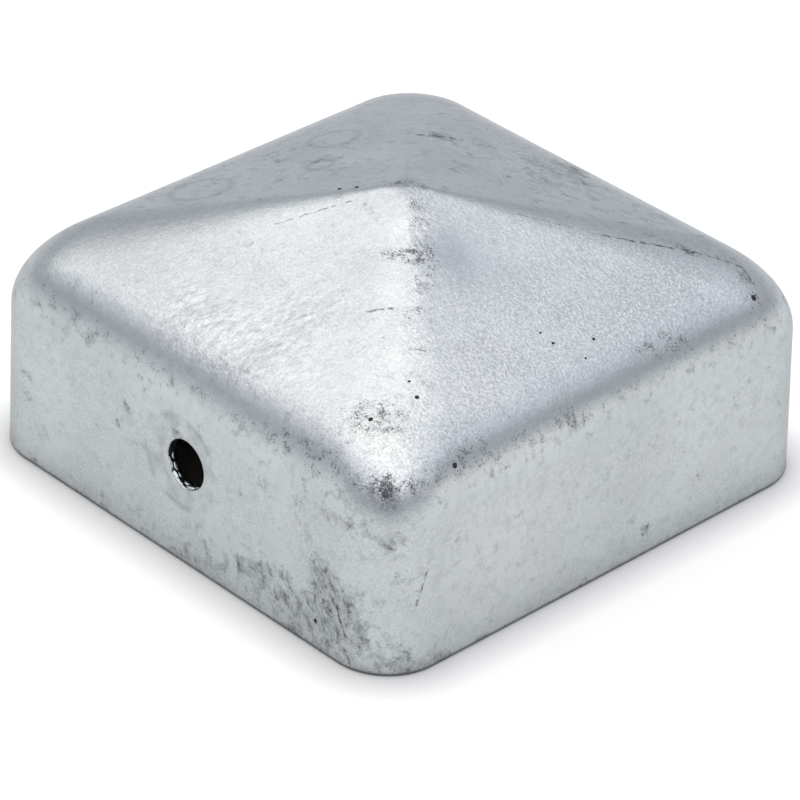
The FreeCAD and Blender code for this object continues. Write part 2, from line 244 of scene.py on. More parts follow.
WRINKLED = (
    (-6.4, -32.0, 31.9, 4.0, 1.0), (-0.2, -32.2, 31.8, 5.0, 1.0), (5.6, -30.5, 32.4, 5.0, 0.8),
    (7.2, -25.1, 34.0, 5.0, 0.6), (7.8, -20.5, 35.4, 4.0, 0.45), (7.1, -33.6, 31.3, 4.0, 0.7),
    (15.4, -32.4, 31.8, 5.0, 0.6), (-14.0, -28.0, 33.0, 7.0, 0.4), (3.7, -1.2, 40.5, 2.5, 0.7),
    (6.7, -3.3, 39.6, 2.5, 0.9), (10.2, -6.2, 38.5, 2.5, 0.9), (15.0, -10.6, 37.1, 2.5, 0.6),
    (20.0, -17.4, 35.3, 2.5, 0.5), (25.8, -24.1, 33.3, 2.5, 0.4), (22.0, 10.0, 35.0, 5.0, 0.35),
    (24.0, -12.0, 34.2, 4.0, 0.3),
)

# The painted shade along the rim's lower edge: how high it reaches and how softly it ends, in millimetres.
RIM_SHADE = (0.8, 0.5)

# Cracks and scratches, in millimetres: from, to and width.
HAIRLINES = (
    ((-9.0, -14.9, 37.1), (-3.0, -5.4, 39.9), 0.17),
    ((13.6, -19.2, 35.8), (15.7, -16.7, 36.2), 0.32),
    ((22.3, -19.8, 34.5), (23.7, -18.5, 34.3), 0.16),
    ((39.44, -32.1, 16.2), (39.15, -33.9, 10.4), 0.26),
    ((30.8, -39.68, 8.6), (32.6, -39.65, 4.7), 0.28),
    ((-4.1, -38.92, 24.9), (-2.2, -39.41, 21.0), 0.14),
    ((39.76, 7.6, 4.9), (39.8, 6.6, 3.2), 0.22),
    ((8.0, 6.9, 39.1), (19.1, 17.6, 35.5), 0.12),
    ((19.1, 17.6, 35.5), (26.6, 27.2, 32.7), 0.3),
    ((26.6, 27.2, 32.7), (31.7, 31.6, 30.8), 0.3),
    ((31.7, 31.6, 30.8), (34.7, 31.0, 29.8), 0.26),
    ((-15.5, 17.4, 36.1), (-12.4, 22.3, 34.8), 0.7),
)

# Single lumps of dross, in millimetres: x, y, z and radius.
DROSS_LUMPS = (
    (37.8, -26.6, 27.5, 0.36),
    (36.3, 29.2, 29.2, 0.4),
    (27.8, -31.7, 31.6, 0.3),
    (-5.6, -3.5, 39.9, 0.28),
    (-7.4, -4.9, 39.3, 0.26),
    (26.3, -23.8, 33.2, 0.2),
    (28.9, -24.9, 32.6, 0.3),
    (30.6, -2.6, 32.3, 0.24),
    (32.6, 2.8, 31.7, 0.24),
    (28.5, -2.8, 33.0, 0.18),
    (34.3, -0.3, 30.9, 0.18),
    (27.1, -39.9, 4.4, 0.3),
)

# Shape of a lump: how many points round it, its rings as shares of its radius outwards and upwards, its
# height, and how uneven its outline is.
LUMP_POINTS = 12
LUMP_RINGS = ((1.0, -0.2), (0.95, 0.1), (0.7, 0.28), (0.35, 0.38))
LUMP_HEIGHT = 0.4
LUMP_UNEVEN = 0.35

# Faint rings round the fixing hole, in millimetres: radius, width and amount. They lie a little to its left,
# and only on its own wall, where y is below HALO_WALL. Their radii waver.
HALO = ((4.7, 0.9, 0.32), (6.0, 1.8, 0.28), (7.4, 0.8, 0.32))
HALO_SHIFT = -0.9
HALO_WALL = -30.0
HALO_WAVER = 1.6

# Beads of zinc drawn out along the hole's lower edge: the first and last angle in degrees, how many there
# are, their radius, and how many times as long as wide they are.
BEADS = (190, 284, 13, 0.42, 1.8)

# Every third bead sits deep in the hole, the others at its mouth: depth in millimetres, how much that varies,
# and how far the bead faces out of the hole. All sit a little way into the hole's edge and vary in size, by
# noise that is read step by step.
DEEP_BEAD = (1.0, 0.0, 0.35)
MOUTH_BEAD = (0.3, 0.4, 0.8)
BEAD_SEAT = 0.1
BEAD_VARIATION = 0.9
BEAD_NOISE_START = Vector((0, 0.3, 0.9))
BEAD_NOISE_STEP = Vector((1.7, 0, 0))

# Rings that a drop of water has left as it dried, in millimetres: x, y, z, radius and amount, and then the
# line's width, how far it wavers, and over what distance.
DROP_RINGS = (
    (-24.9, 10.3, 34.1, 3.4, 1.0),
    (-18.2, 1.4, 36.1, 1.9, 1.3),
    (-27.0, -12.0, 33.2, 4.2, 1.0),
)
DROP_RING_LINE = (0.4, 0.5, 2.0)

# Where drying water has left faint closed lines, in millimetres: x, y, z, radius and amount.
TIDE_MARKS = (
    (-24.9, 10.3, 34.1, 8.0, 0.5),
    (-18.2, 1.4, 36.1, 5.0, 0.5),
    (-8.0, 25.0, 34.0, 8.0, 0.6),
    (6.0, 28.0, 33.0, 8.0, 0.6),
)

# Colours of the zinc and of what lies on it. The brightest zinc colour also gives the painted highlights, the
# deepest one the painted shade, and the rim's grey the painted shade along the rim.
ZINC_PALE = (0.574, 0.613, 0.614, 1)
ZINC_DULL = (0.45, 0.48, 0.49, 1)
ZINC_HIGHLIGHT_AND_FLECK = (0.78, 0.79, 0.765, 1)
ZINC_SHADE_AND_DEEP_TONE = (0.36, 0.385, 0.405, 1)
FLECK_GREY = (0.34, 0.365, 0.375, 1)
STAIN_GREY = (0.145, 0.165, 0.185, 1)
RIM_SHADE_GREY = (0.11, 0.12, 0.13, 1)
GRAZING_TINT = (0.75, 0.76, 0.79, 1)
DROSS_BLACK = (0.02, 0.02, 0.022, 1)
DROSS_BROWN = (0.05, 0.04, 0.03, 1)

# The floor: half its size in metres, its colour, how much it glows at the cap's rim and further away, how far
# off the second begins in millimetres, and the share of the glow that the metal mirrors. The weaker glow near
# the rim is a painted shadow round the cap.
FLOOR_HALF = 6.0
FLOOR_WHITE = (0.66, 0.66, 0.64, 1)
GLOW_IN_PAINTED_SHADOW = 0.10
GLOW_FAR = 0.40
PAINTED_SHADOW_REACH = 5.5
GLOW_MIRRORED = 0.7

# The studio's tone by height above the horizon, as the sine of the angle.
STUDIO_TONES = (
    (0.0, (0.88, 0.89, 0.92, 1)),
    (0.1, (0.77, 0.78, 0.82, 1)),
    (0.2, (0.65, 0.66, 0.70, 1)),
    (0.3, (0.50, 0.51, 0.55, 1)),
    (0.4, (0.54, 0.55, 0.60, 1)),
    (0.5, (0.78, 0.79, 0.86, 1)),
    (0.6, (0.97, 0.97, 1.06, 1)),
    (0.75, (1.09, 1.08, 1.19, 1)),
    (1.0, (1.3, 1.3, 1.34, 1)),
)

# Soft round lamps: name, place and size in metres, power in watts, and colour.
LAMPS = (
    ("left_softbox", (-0.82, 0.06, 1.25), 1.8, 3.35, (1.0, 0.94, 0.76)),
    ("front_softbox", (0.68, -0.71, 1.13), 1.1, 1.78, (1.0, 0.95, 0.86)),
)

# The photograph's camera, fitted to the cap's outline. Angles are in degrees, lengths in outer widths of the
# cap and the lens in millimetres.
CAMERA_AZIMUTH = 45.91
CAMERA_ELEVATION = 32.33
CAMERA_ROLL = 1.75
CAMERA_DISTANCE = 7.338
CAMERA_SLIDE = (0.0011, 0.085)
CAMERA_TARGET_HEIGHT = 0.2
CAMERA_LENS = 197.0


# The pressing's mesh

def profile(inset):
    """Half width, corner radius and height of one skin's sections, sampled from the apex to the rim."""
    flare, slope = math.radians(FLARE), math.radians(CROWN_SLOPE)
    roll_half = RIM_HALF - SKIRT_HEIGHT * math.tan(flare) - SHOULDER_RADIUS * math.cos(flare)
    roll_height = SKIRT_HEIGHT - SHOULDER_RADIUS * math.sin(flare)
    foot_half = roll_half + SHOULDER_RADIUS * math.sin(slope)
    foot_height = roll_height + SHOULDER_RADIUS * math.cos(slope)
    dome_height = foot_height + foot_half * math.tan(slope) - APEX_RADIUS / math.cos(slope)

    dome_turn = np.linspace(0, slope, DOME_SAMPLES)
    dome_half = (APEX_RADIUS - inset) * np.sin(dome_turn)
    dome_rise = dome_height + (APEX_RADIUS - inset) * np.cos(dome_turn)
    dome = (dome_half, dome_half * RIDGE_RADIUS / foot_half, dome_rise)

    turn = np.linspace(math.pi / 2 - slope, flare, SHOULDER_SAMPLES)
    share = (turn - flare) / (turn[0] - flare)
    corner = CORNER_RADIUS + (RIDGE_RADIUS - CORNER_RADIUS) * share - inset * np.cos(turn)
    shoulder = (
        roll_half + (SHOULDER_RADIUS - inset) * np.cos(turn),
        corner,
        roll_height + (SHOULDER_RADIUS - inset) * np.sin(turn),
    )
    height = np.linspace(shoulder[2][-1], RIM_ROUND, SKIRT_SAMPLES)[1:]
    skirt_half = RIM_HALF - height * math.tan(flare) - inset / math.cos(flare)
    skirt = (skirt_half, np.full(height.shape, CORNER_RADIUS - inset), height)
    crown = np.array([np.concatenate(pair) for pair in zip(dome, shoulder)])
    return crown, np.array(skirt)


def spaced(samples, count):
    """Sections at equal steps along a sampled profile, with both ends."""
    steps = np.hypot(np.diff(samples[0]), np.diff(samples[2]))
    along = np.concatenate(([0], np.cumsum(steps)))
    places = np.linspace(0, along[-1], count)
    return np.array([np.interp(places, along, row) for row in samples]).T


def on_section(section, side, share):
    """The point of a rounded square section at a share, from -1 to 1, along one of its four sides."""
    half, corner, height = section
    straight = half - corner
    along = abs(share) * (straight + corner * math.pi / 4)
    bend = max(along - straight, 0.0) / max(corner, TINY)
    out = straight + corner * math.cos(bend)
    across = math.copysign(min(along, straight) + corner * math.sin(bend), share)
    cosine, sine = ((1, 0), (0, 1), (-1, 0), (0, -1))[side]
    return out * cosine - across * sine, out * sine + across * cosine, height


class Skin:
    """One skin of the sheet: a grid over the crown, and rings down the skirt from the crown's edge."""

    def __init__(self, inset, columns, rows):
        self.points = []
        self.faces = []
        crown, skirt = profile(inset)
        edge = crown[:, -1:]
        self.columns = columns
        self.rows = rows
        self.add_crown(spaced(crown, columns // 2 + 1))
        self.add_skirt(spaced(np.hstack((edge, skirt)), rows + 1))

    def add(self, point):
        """Adds a point and returns its number."""
        self.points.append(point)
        return len(self.points) - 1

    def add_crown(self, sections):
        """The crown and shoulder, as a square grid whose square rings are the sections."""
        count = self.columns
        middle = count // 2
        grid = np.zeros((count + 1, count + 1), int)
        for i in range(count + 1):
            for j in range(count + 1):
                across, up = i - middle, j - middle
                ring = max(abs(across), abs(up))
                reach = max(ring, 1)
                if abs(across) >= abs(up):
                    side, share = (0, up / reach) if across >= 0 else (2, -up / reach)
                else:
                    side, share = (1, -across / reach) if up > 0 else (3, across / reach)
                grid[i, j] = self.add(on_section(sections[ring], side, share))
        for i in range(count):
            for j in range(count):
                self.faces.append((grid[i, j], grid[i + 1, j], grid[i + 1, j + 1], grid[i, j + 1]))
        order = range(count)
        self.rings = [
            [grid[count, k] for k in order]
            + [grid[count - k, count] for k in order]
            + [grid[0, count - k] for k in order]
            + [grid[k, 0] for k in order]
        ]

    def add_ring(self, section):
        """Points all round a section, as many on each side as there are columns. Returns their numbers."""
        shares = [2 * k / self.columns - 1 for k in range(self.columns)]
        return [self.add(on_section(section, side, share)) for side in range(4) for share in shares]

    def add_skirt(self, sections):
        """The rings of the skirt, from the crown's edge down to the rim."""
        self.rings += [self.add_ring(section) for section in sections[1:]]

    def on_holed_wall(self, row, column):
        """The number of a point on the wall to -Y, by its row and column."""
        return self.rings[row][3 * self.columns + column]

    def skirt_faces(self, left, right, top, bottom):
        """The quads of the skirt, without the block that the hole takes on the wall to -Y."""
        around = 4 * self.columns
        holed = 3 * self.columns
        for row in range(self.rows):
            upper, lower = self.rings[row], self.rings[row + 1]
            for k in range(around):
                if top <= row < bottom and holed + left <= k < holed + right:
                    continue
                after = (k + 1) % around
                self.faces.append((upper[k], lower[k], lower[after], upper[after]))

    def open_block(self, columns, rows):
        """Leaves out a block of quads round the hole and returns the loop of points round it."""
        wall = [np.array(self.points[k]) for k in self.rings[0][3 * self.columns :]]
        middle_column = int(np.argmin([abs(point[0] - HOLE_X) for point in wall]))
        heights = [self.points[ring[0]][2] for ring in self.rings]
        middle_row = int(np.argmin([abs(height - HOLE_HEIGHT) for height in heights]))
        left, right = middle_column - columns // 2, middle_column + columns // 2
        top, bottom = middle_row - rows // 2, middle_row + rows // 2
        self.skirt_faces(left, right, top, bottom)
        loop = [self.on_holed_wall(bottom, column) for column in range(left, right)]
        loop += [self.on_holed_wall(row, right) for row in range(bottom, top, -1)]
        loop += [self.on_holed_wall(top, column) for column in range(right, left, -1)]
        loop += [self.on_holed_wall(row, left) for row in range(top, bottom)]
        return loop


def loop_angles(columns, rows):
    """The angle of each point of a hole's ring, a quarter turn for each side of the block round it."""
    angles = []
    for side, count in enumerate((columns, rows, columns, rows)):
        angles += [math.radians(-135 + 90 * (side + k / count)) for k in range(count)]
    return angles


def hole_ring(angles, radius, depth):
    """Points of a circle about the hole's axis, at a depth inside the outside of the holed wall."""
    points = []
    for angle in angles:
        x = HOLE_X + radius * math.cos(angle)
        height = HOLE_HEIGHT + radius * math.sin(angle)
        out = RIM_HALF - height * math.tan(math.radians(FLARE)) - depth
        points.append((x, -out, height))
    return points


def strip(first, second):
    """Quads between two closed rings of as many points."""
    count = len(first)
    return [(first[k], first[(k + 1) % count], second[(k + 1) % count], second[k]) for k in range(count)]


def half_strip(fine, coarse):
    """Faces of five corners between a closed ring and one of half as many points."""
    count = len(coarse)
    faces = []
    for k in range(count):
        after = (2 * k + 2) % len(fine)
        faces.append((fine[2 * k], fine[2 * k + 1], fine[after], coarse[(k + 1) % count], coarse[k]))
    return faces


def reverse(faces):
    """The same faces, looking the other way."""
    return [tuple(reversed(face)) for face in faces]


def ringed_hole(skin, loop, angles, radius, depth, count):
    """Fills the block round the hole with rings, from its outline to a circle. Returns the last ring."""
    target = [np.array(point) for point in hole_ring(angles, radius, depth)]
    start = [np.array(skin.points[k]) for k in loop]
    before = loop
    for number in range(1, count + 1):
        share = 1 - (1 - number / count) ** HOLE_CROWDING
        ring = [skin.add(tuple(point + (end - point) * share)) for point, end in zip(start, target)]
        skin.faces += strip(before, ring)
        before = ring
    return before


def rim_sections():
    """Sections round the rim's rounded edge, from the outside over the bottom to the inside."""
    flare = math.tan(math.radians(FLARE))
    turns = [math.radians(angle) for angle in (22.5, 45, 67.5, 90)]
    places = [(RIM_ROUND * (1 - math.cos(turn)), RIM_ROUND * (1 - math.sin(turn))) for turn in turns]
    places += [(SHEET - depth, height) for depth, height in reversed(places)]
    places.append((SHEET, RIM_ROUND))
    return [(RIM_HALF - height * flare - depth, CORNER_RADIUS - depth, height) for depth, height in places]


def cap_mesh():
    """Points of the whole cap, the faces of its outside, rim and hole, and the faces of its inside."""
    outside = Skin(0.0, OUTSIDE_COLUMNS, OUTSIDE_ROWS)
    inside = Skin(SHEET, OUTSIDE_COLUMNS // 2, OUTSIDE_ROWS // 2)

    outer_loop = outside.open_block(HOLE_BLOCK_COLUMNS, HOLE_BLOCK_ROWS)
    inner_loop = inside.open_block(HOLE_BLOCK_COLUMNS // 2, HOLE_BLOCK_ROWS // 2)
    outer_angles = loop_angles(HOLE_BLOCK_COLUMNS, HOLE_BLOCK_ROWS)
    inner_angles = loop_angles(HOLE_BLOCK_COLUMNS // 2, HOLE_BLOCK_ROWS // 2)
    mouth = ringed_hole(outside, outer_loop, outer_angles, HOLE_MOUTH, 0.0, HOLE_BLOCK_RINGS)
    back = ringed_hole(inside, inner_loop, inner_angles, HOLE_BACK, SHEET, HOLE_BLOCK_RINGS // 2)
    for widen, depth in HOLE_BARREL:
        ring = [outside.add(point) for point in hole_ring(outer_angles, HOLE_RADIUS + widen, depth)]
        outside.faces += strip(mouth, ring)
        mouth = ring

    rim = outside.rings[-1]
    for section in rim_sections():
        ring = outside.add_ring(section)
        outside.faces += reverse(strip(rim, ring))
        rim = ring

    start = len(outside.points)
    inside_faces = [tuple(k + start for k in face) for face in reverse(inside.faces)]
    joins = half_strip(mouth, [k + start for k in back])
    joins += reverse(half_strip(rim, [k + start for k in inside.rings[-1]]))
    return outside.points + inside.points, outside.faces + joins, inside_faces


def spread(points, marks):
    """The sum of soft round marks at each point."""
    total = np.zeros(len(points))
    for x, y, z, radius, amount in marks:
        distance = np.linalg.norm(points - (x, y, z), axis=1)
        total += amount * np.exp(-((distance / radius) ** 2))
    return total


def bands(points, marks):
    """The sum of soft level bands at each point."""
    total = np.zeros(len(points))
    for height, width, amount in marks:
        total += amount * np.exp(-(((points[:, 2] - height) / width) ** 2))
    return total


def rings(points, marks):
    """The sum of thin uneven rings at each point."""
    width, waver, distance_apart = DROP_RING_LINE
    total = np.zeros(len(points))
    for x, y, z, radius, amount in marks:
        distance = np.linalg.norm(points - (x, y, z), axis=1)
        near = np.flatnonzero(distance < 2 * radius)
        uneven = np.array([waver * noise.noise(Vector(points[k]) / distance_apart) for k in near])
        total[near] += amount * np.exp(-(((distance[near] + uneven - radius) / width) ** 2))
    return total


def relief(point, wrinkle):
    """How far the zinc stands out at a point, in millimetres. The rim's lower edge stays level."""
    place = Vector(point)
    height = BROAD_DENTS[0] * noise.noise(place / BROAD_DENTS[1])
    height += LUMPS[0] * noise.noise(place / LUMPS[1] + LUMPS_SHIFT)
    drawn_out = place * WRINKLE_STRETCH
    if place.x + place.y > 0:
        drawn_out.y = place.y
    else:
        drawn_out.x = place.x
    height += wrinkle * WRINKLES[0] * noise.noise(drawn_out / WRINKLES[1])
    return height * min(place.z / RELIEF_FADE, 1)


def grain_by_side(points):
    """How strong the grain is at each point: by slope on the crown, and by height below it."""
    turn = np.degrees(np.arctan2(points[:, 1], points[:, 0]))
    corners = [corner + half for corner in (-135, -45, 45, 135) for half in (-RIDGE_BLEND, RIDGE_BLEND)]
    sides = [SLOPE_GRAIN[k] for k in (3, 0, 0, 1, 1, 2, 2, 3)]
    on_slope = np.interp(turn, corners, sides, period=360)
    wall_top, shoulder_foot, shoulder_top, slope_foot = GRAIN_HEIGHTS
    below = np.interp(points[:, 2], (wall_top, shoulder_foot), (WALL_GRAIN, SHOULDER_GRAIN))
    share = np.interp(points[:, 2], (shoulder_top, slope_foot), (0, 1))
    return np.clip(below + (on_slope - below) * share + spread(points, GRAIN_CHANGES), 0, 1)


def raise_zinc(mesh, points, wrinkle):
    """Moves each point of the mesh along its normal by the zinc's relief."""
    normals = np.zeros(3 * len(points))
    mesh.vertices.foreach_get("normal", normals)
    heights = np.array([relief(point, share) for point, share in zip(points, wrinkle)])
    raised = points + normals.reshape(-1, 3) * heights[:, None]
    mesh.vertices.foreach_set("co", (raised * MM).ravel())
    mesh.update()


def paint_marks(mesh, points, wrinkle):
    """Keeps for each point of the mesh how strong each kind of mark is there, for the material to read."""
    # Bands of painted highlight and painted shade along the shoulders, added to the bright and dull places.
    to_front = np.clip((-points[:, 1] - np.abs(points[:, 0])) / SIDE_BLEND, 0, 1)
    to_right = np.clip((points[:, 0] - np.abs(points[:, 1])) / SIDE_BLEND, 0, 1)
    painted_shoulder_light = bands(points, FRONT_PAINTED_LIGHT_BANDS) * to_front + bands(points, RIGHT_PAINTED_LIGHT_BANDS) * to_right
    marks = {
        "stain": np.clip(spread(points, STAINS) + bands(points, STAIN_BANDS), 0, MOST_STAIN),
        "dross": np.clip(spread(points, DROSS) + bands(points, DROSS_BANDS), 0, MOST_DROSS),
        "painted_light_and_tone": np.clip(spread(points, PAINTED_LIGHT_AND_TONE) + painted_shoulder_light, -1, 1),
        "tide": np.clip(spread(points, TIDE_MARKS), 0, 1),
        "ring": rings(points, DROP_RINGS),
        "wrinkle": wrinkle,
        "grain": grain_by_side(points),
    }
    for name, values in marks.items():
        layer = mesh.attributes.new(name, "FLOAT", "POINT")
        layer.data.foreach_set("value", values)


def build_cap(outside, inside):
    """The galvanised cap, with one material on its outside and another on its inside."""
    points, outside_faces, inside_faces = cap_mesh()
    mesh = bpy.data.meshes.new("zinc_cap")
    faces = [[int(k) for k in face] for face in outside_faces + inside_faces]
    mesh.from_pydata([(x * MM, y * MM, z * MM) for x, y, z in points], [], faces)
    mesh.update()
    mesh.shade_smooth()
    points = np.array(points)
    wrinkle = np.clip(spread(points, WRINKLED), 0, 1)
    raise_zinc(mesh, points, wrinkle)
    paint_marks(mesh, points, wrinkle)
    mesh.materials.append(outside)
    mesh.materials.append(inside)
    on_inside = np.arange(len(faces)) >= len(outside_faces)
    mesh.polygons.foreach_set("material_index", on_inside.astype(int))
    place_piece("zinc_cap", mesh)
    return mesh


def add_object(name, data):
    """Puts a new object in the scene."""
    added = bpy.data.objects.new(name, data)
    bpy.context.scene.collection.objects.link(added)
    return added


def place_piece(name, mesh):
    """Puts a mesh in the scene as a look of the pressing."""
    piece = add_object(name, mesh)
    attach(piece, "root")
    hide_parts(NODE)


def lump(place, normal, radius, run):
    """Points and faces of a low dome that stands on the zinc, drawn out by the run. Its outline is uneven."""
    side = run - normal * run.dot(normal)
    other = normal.cross(side).normalized()
    points = []
    for spread_out, rise in LUMP_RINGS:
        for k in range(LUMP_POINTS):
            turn = 2 * math.pi * k / LUMP_POINTS
            direction = side * math.cos(turn) + other * math.sin(turn)
            reach = radius * spread_out * (1 + LUMP_UNEVEN * noise.noise(place + direction))
            points.append(place + direction * reach + normal * radius * rise)
    top = len(points)
    points.append(place + normal * radius * LUMP_HEIGHT)
    faces = []
    for ring in range(len(LUMP_RINGS) - 1):
        lower = [ring * LUMP_POINTS + k for k in range(LUMP_POINTS)]
        faces += strip(lower, [k + LUMP_POINTS for k in lower])
    last = top - LUMP_POINTS
    faces += [(last + k, last + (k + 1) % LUMP_POINTS, top) for k in range(LUMP_POINTS)]
    return points, faces


def join_lumps(name, places, material):
    """A piece made of lumps. Each place is a point, a normal, a radius, and a run: direction and length."""
    points, faces = [], []
    for place, normal, radius, run in places:
        lump_points, lump_faces = lump(place, normal, radius, run)
        faces += [[k + len(points) for k in face] for face in lump_faces]
        points += lump_points
    mesh = bpy.data.meshes.new(name)
    mesh.from_pydata([point * MM for point in points], [], faces)
    mesh.shade_smooth()
    mesh.materials.append(material)
    place_piece(name, mesh)


def build_beads(material):
    """The beads of zinc at the hole's lower edge."""
    first, last, count, size, length = BEADS
    places = []
    for k in range(count):
        uneven = noise.noise(BEAD_NOISE_START + BEAD_NOISE_STEP * k)
        angle = math.radians(first + (last - first) * (k + uneven) / (count - 1))
        depth, vary, tilt = DEEP_BEAD if k % 3 == 0 else MOUTH_BEAD
        place = Vector(hole_ring([angle], HOLE_RADIUS + BEAD_SEAT, depth + vary * uneven)[0])
        normal = Vector((-math.cos(angle), -tilt, -math.sin(angle))).normalized()
        run = Vector((-math.sin(angle), 0, math.cos(angle))) * length
        places.append((place, normal, size * (1 + BEAD_VARIATION * uneven), run))
    join_lumps("zinc_beads", places, material)


def build_dross(mesh, material):
    """The single lumps of dross, set on the zinc of the cap's mesh."""
    spots = np.zeros(3 * len(mesh.vertices))
    mesh.vertices.foreach_get("co", spots)
    spots = spots.reshape(-1, 3) / MM
    places = []
    for x, y, z, radius in DROSS_LUMPS:
        nearest = int(np.argmin(np.linalg.norm(spots - (x, y, z), axis=1)))
        normal = mesh.vertices[nearest].normal
        on_zinc = Vector((x, y, z)) + normal * (Vector(spots[nearest]) - Vector((x, y, z))).dot(normal)
        places.append((on_zinc, normal, radius, normal.orthogonal().normalized()))
    join_lumps("dross_lumps", places, material)


# Steps that the materials are written in

def feed(tree, socket, value):
    """Links a socket to another, or gives it a plain value."""
    if isinstance(value, bpy.types.NodeSocket):
        tree.links.new(value, socket)
    else:
        socket.default_value = value


def step(tree, kind, inputs, **settings):
    """Adds a node with its settings, and feeds its inputs."""
    node = tree.nodes.new(f"ShaderNode{kind}")
    for name, value in settings.items():
        setattr(node, name, value)
    for key, value in inputs.items():
        feed(tree, node.inputs[key], value)
    return node


def work(tree, operation, *values):
    """A sum on numbers, held between 0 and 1 when its name starts with HELD."""
    settings = {"operation": operation.removeprefix("HELD_"), "use_clamp": operation.startswith("HELD_")}
    return step(tree, "Math", dict(enumerate(values)), **settings).outputs[0]


def held(tree, value, gain, offset):
    """A number times a gain plus an offset, held between 0 and 1."""
    return work(tree, "HELD_MULTIPLY_ADD", value, gain, offset)


def vector_work(tree, operation, *values):
    """A sum on vectors. Lengths and dot products are numbers."""
    node = step(tree, "VectorMath", dict(enumerate(values)), operation=operation)
    return node.outputs["Value" if operation in ("LENGTH", "DOT_PRODUCT", "DISTANCE") else "Vector"]


def blend_colour(tree, share, first, second):
    """A colour that goes from the first to the second."""
    return step(tree, "Mix", {0: share, 6: first, 7: second}, data_type="RGBA").outputs[2]


def blend_number(tree, share, first, second):
    """A number that goes from the first to the second."""
    return step(tree, "Mix", {0: share, 2: first, 3: second}).outputs[0]


def noise_at(tree, place, distance, detail, roughness=0.5):
    """Noise from 0 to 1, whose lumps are about this distance apart in millimetres."""
    inputs = {"Vector": place, "Scale": 1 / (distance * MM), "Detail": detail, "Roughness": roughness}
    return step(tree, "TexNoise", inputs).outputs["Fac"]


def wandering(tree, place, distance, detail, reach):
    """A shift that wanders from place to place, by up to half the reach. Lengths are in millimetres."""
    inputs = {"Vector": place, "Scale": 1 / (distance * MM), "Detail": detail}
    shift = vector_work(tree, "SUBTRACT", step(tree, "TexNoise", inputs).outputs["Color"], (0.5, 0.5, 0.5))
    return step(tree, "VectorMath", {0: shift, "Scale": reach * MM}, operation="SCALE").outputs["Vector"]


def new_group(name, inputs, outputs):
    """An empty node group with named inputs and outputs. Returns it and the sockets of its inputs by name."""
    group = bpy.data.node_groups.new(name, "ShaderNodeTree")
    for direction, sockets in (("INPUT", inputs), ("OUTPUT", outputs)):
        for socket, kind in sockets.items():
            group.interface.new_socket(socket, in_out=direction, socket_type=f"NodeSocket{kind}")
    entry = group.nodes.new("NodeGroupInput")
    return group, entry.outputs


def close_group(group, results):
    """Feeds the group's outputs."""
    feed_to = group.nodes.new("NodeGroupOutput")
    for name, value in results.items():
        feed(group, feed_to.inputs[name], value)


def drawn_noise(tree, position, sideways, stretch, distance, detail):
    """Noise drawn out along x on the faces that fall sideways, and along y on the others."""
    along_x = noise_at(tree, vector_work(tree, "MULTIPLY", position, (stretch, 1, 1)), distance, detail)
    along_y = noise_at(tree, vector_work(tree, "MULTIPLY", position, (1, stretch, 1)), distance, detail)
    return blend_number(tree, sideways, along_y, along_x)


def grain_group():
    """Grain of the zinc: strokes drawn out along the fall of each face, small lumps, and broad clouds."""
    group, given = new_group(
        "zinc_grain",
        {"Position": "Vector", "Normal": "Vector"},
        {"Strokes": "Float", "Folds": "Float", "Lumps": "Float", "Clouds": "Float"},
    )
    facing = vector_work(group, "ABSOLUTE", given["Normal"])
    parts = step(group, "SeparateXYZ", {0: facing})
    sideways = work(group, "SUBTRACT", parts.outputs["X"], parts.outputs["Y"])
    sideways = held(group, sideways, 8.0, 0.5)
    strokes = drawn_noise(group, given["Position"], sideways, STROKE_STRETCH, *STROKE_NOISE)
    folds = drawn_noise(group, given["Position"], sideways, FOLD_STRETCH, *FOLD_NOISE)
    lumps = noise_at(group, given["Position"], *LUMP_NOISE)
    clouds = noise_at(group, given["Position"], *CLOUD_NOISE)
    close_group(group, {"Strokes": strokes, "Folds": folds, "Lumps": lumps, "Clouds": clouds})
    return group


def stain_group():
    """A stain: a veil of fine dirt, with dark and light smears in it."""
    group, given = new_group(
        "stain",
        {"Position": "Vector", "Amount": "Float"},
        {"Veil": "Float", "Dark smears": "Float", "Light smears": "Float"},
    )
    position = given["Position"]
    dirt = noise_at(group, position, *DIRT_NOISE)
    level = work(group, "MULTIPLY_ADD", given["Amount"], 0.2, -0.6)
    veil = work(group, "HELD_MULTIPLY", work(group, "ADD", dirt, level), 5.0)

    parts = step(group, "SeparateXYZ", {0: position}).outputs
    leaning = work(group, "MULTIPLY_ADD", parts["Z"], SMEAR_LEAN, parts["X"])
    drawn_out = work(group, "MULTIPLY", parts["Z"], SMEAR_STRETCH)
    run = step(group, "CombineXYZ", {"X": leaning, "Y": parts["Y"], "Z": drawn_out}).outputs["Vector"]
    smeared = vector_work(group, "ADD", run, wandering(group, position, *SMEAR_WAVER))
    smear = noise_at(group, smeared, *SMEAR_NOISE)
    dark = held(group, smear, 10.0, -5.15)
    light = held(group, smear, -10.0, 4.85)
    close_group(
        group,
        {
            "Veil": veil,
            "Dark smears": work(group, "MULTIPLY", dark, veil),
            "Light smears": work(group, "MULTIPLY", light, veil),
        },
    )
    return group


